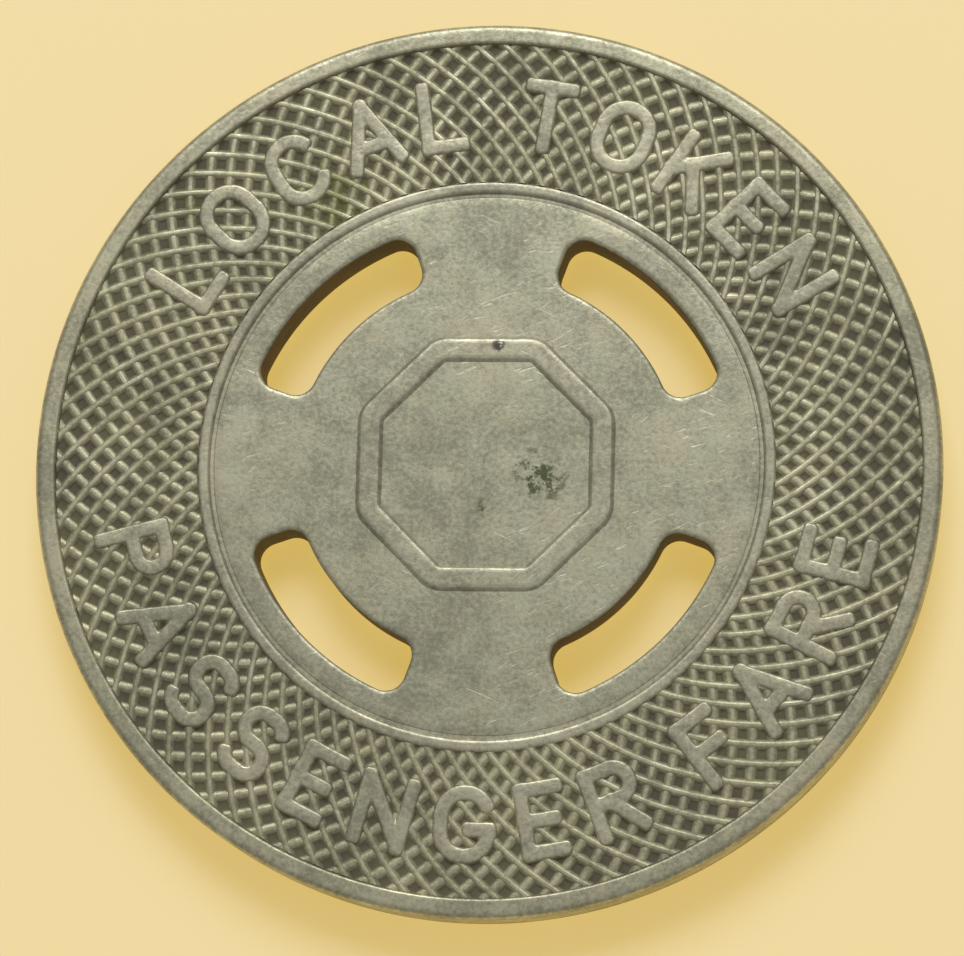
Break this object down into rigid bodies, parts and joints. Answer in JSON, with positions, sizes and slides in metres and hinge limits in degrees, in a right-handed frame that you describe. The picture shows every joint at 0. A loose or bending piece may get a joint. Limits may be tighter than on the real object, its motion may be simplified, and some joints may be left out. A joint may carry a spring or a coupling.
{
  "type": "transit token",
  "caption": "Small round metal fare token with a raised rim, a lettered band over crossing ridges, a raised inner ring and a flat centre pierced by curved slots.",
  "frame": {"origin": "centre of the plane that the reverse rim rests on", "axes": "+Z along the token's own axis, out of the front face; +Y is up for the front's lettering; +X is to the reader's right"},
  "size_m": [0.016, 0.016, 0.0011],
  "materials": {
    "token_core": "aged nickel-silver, satin, worn high and grimed low",
    "rim_worn": "aged nickel-silver, satin, worn high and grimed low",
    "ring_worn": "aged nickel-silver, satin, worn high and grimed low",
    "centre_field": "aged nickel-silver, satin, worn high and grimed low",
    "emblem_line": "aged nickel-silver, satin, worn high and grimed low",
    "lattice_grimed": "aged nickel-silver, satin, worn high and grimed low",
    "letter_worn": "aged nickel-silver, satin, worn high and grimed low"
  },
  "bodies": {
    "root": {"blank": "token_core", "front_rim": "rim_worn", "front_inner_ring": "ring_worn", "front_medallion": "centre_field", "front_emblem_frame": "emblem_line", "front_lattice_left": "lattice_grimed", "front_lattice_right": "lattice_grimed", "front_legend_top": "letter_worn", "front_legend_foot": "letter_worn", "back_rim": "rim_worn", "back_inner_ring": "ring_worn", "back_medallion": "centre_field", "back_emblem_frame": "emblem_line", "back_lattice_left": "lattice_grimed", "back_lattice_right": "lattice_grimed", "back_legend_top": "letter_worn", "back_legend_foot": "letter_worn"}
  },
  "joints": []
}
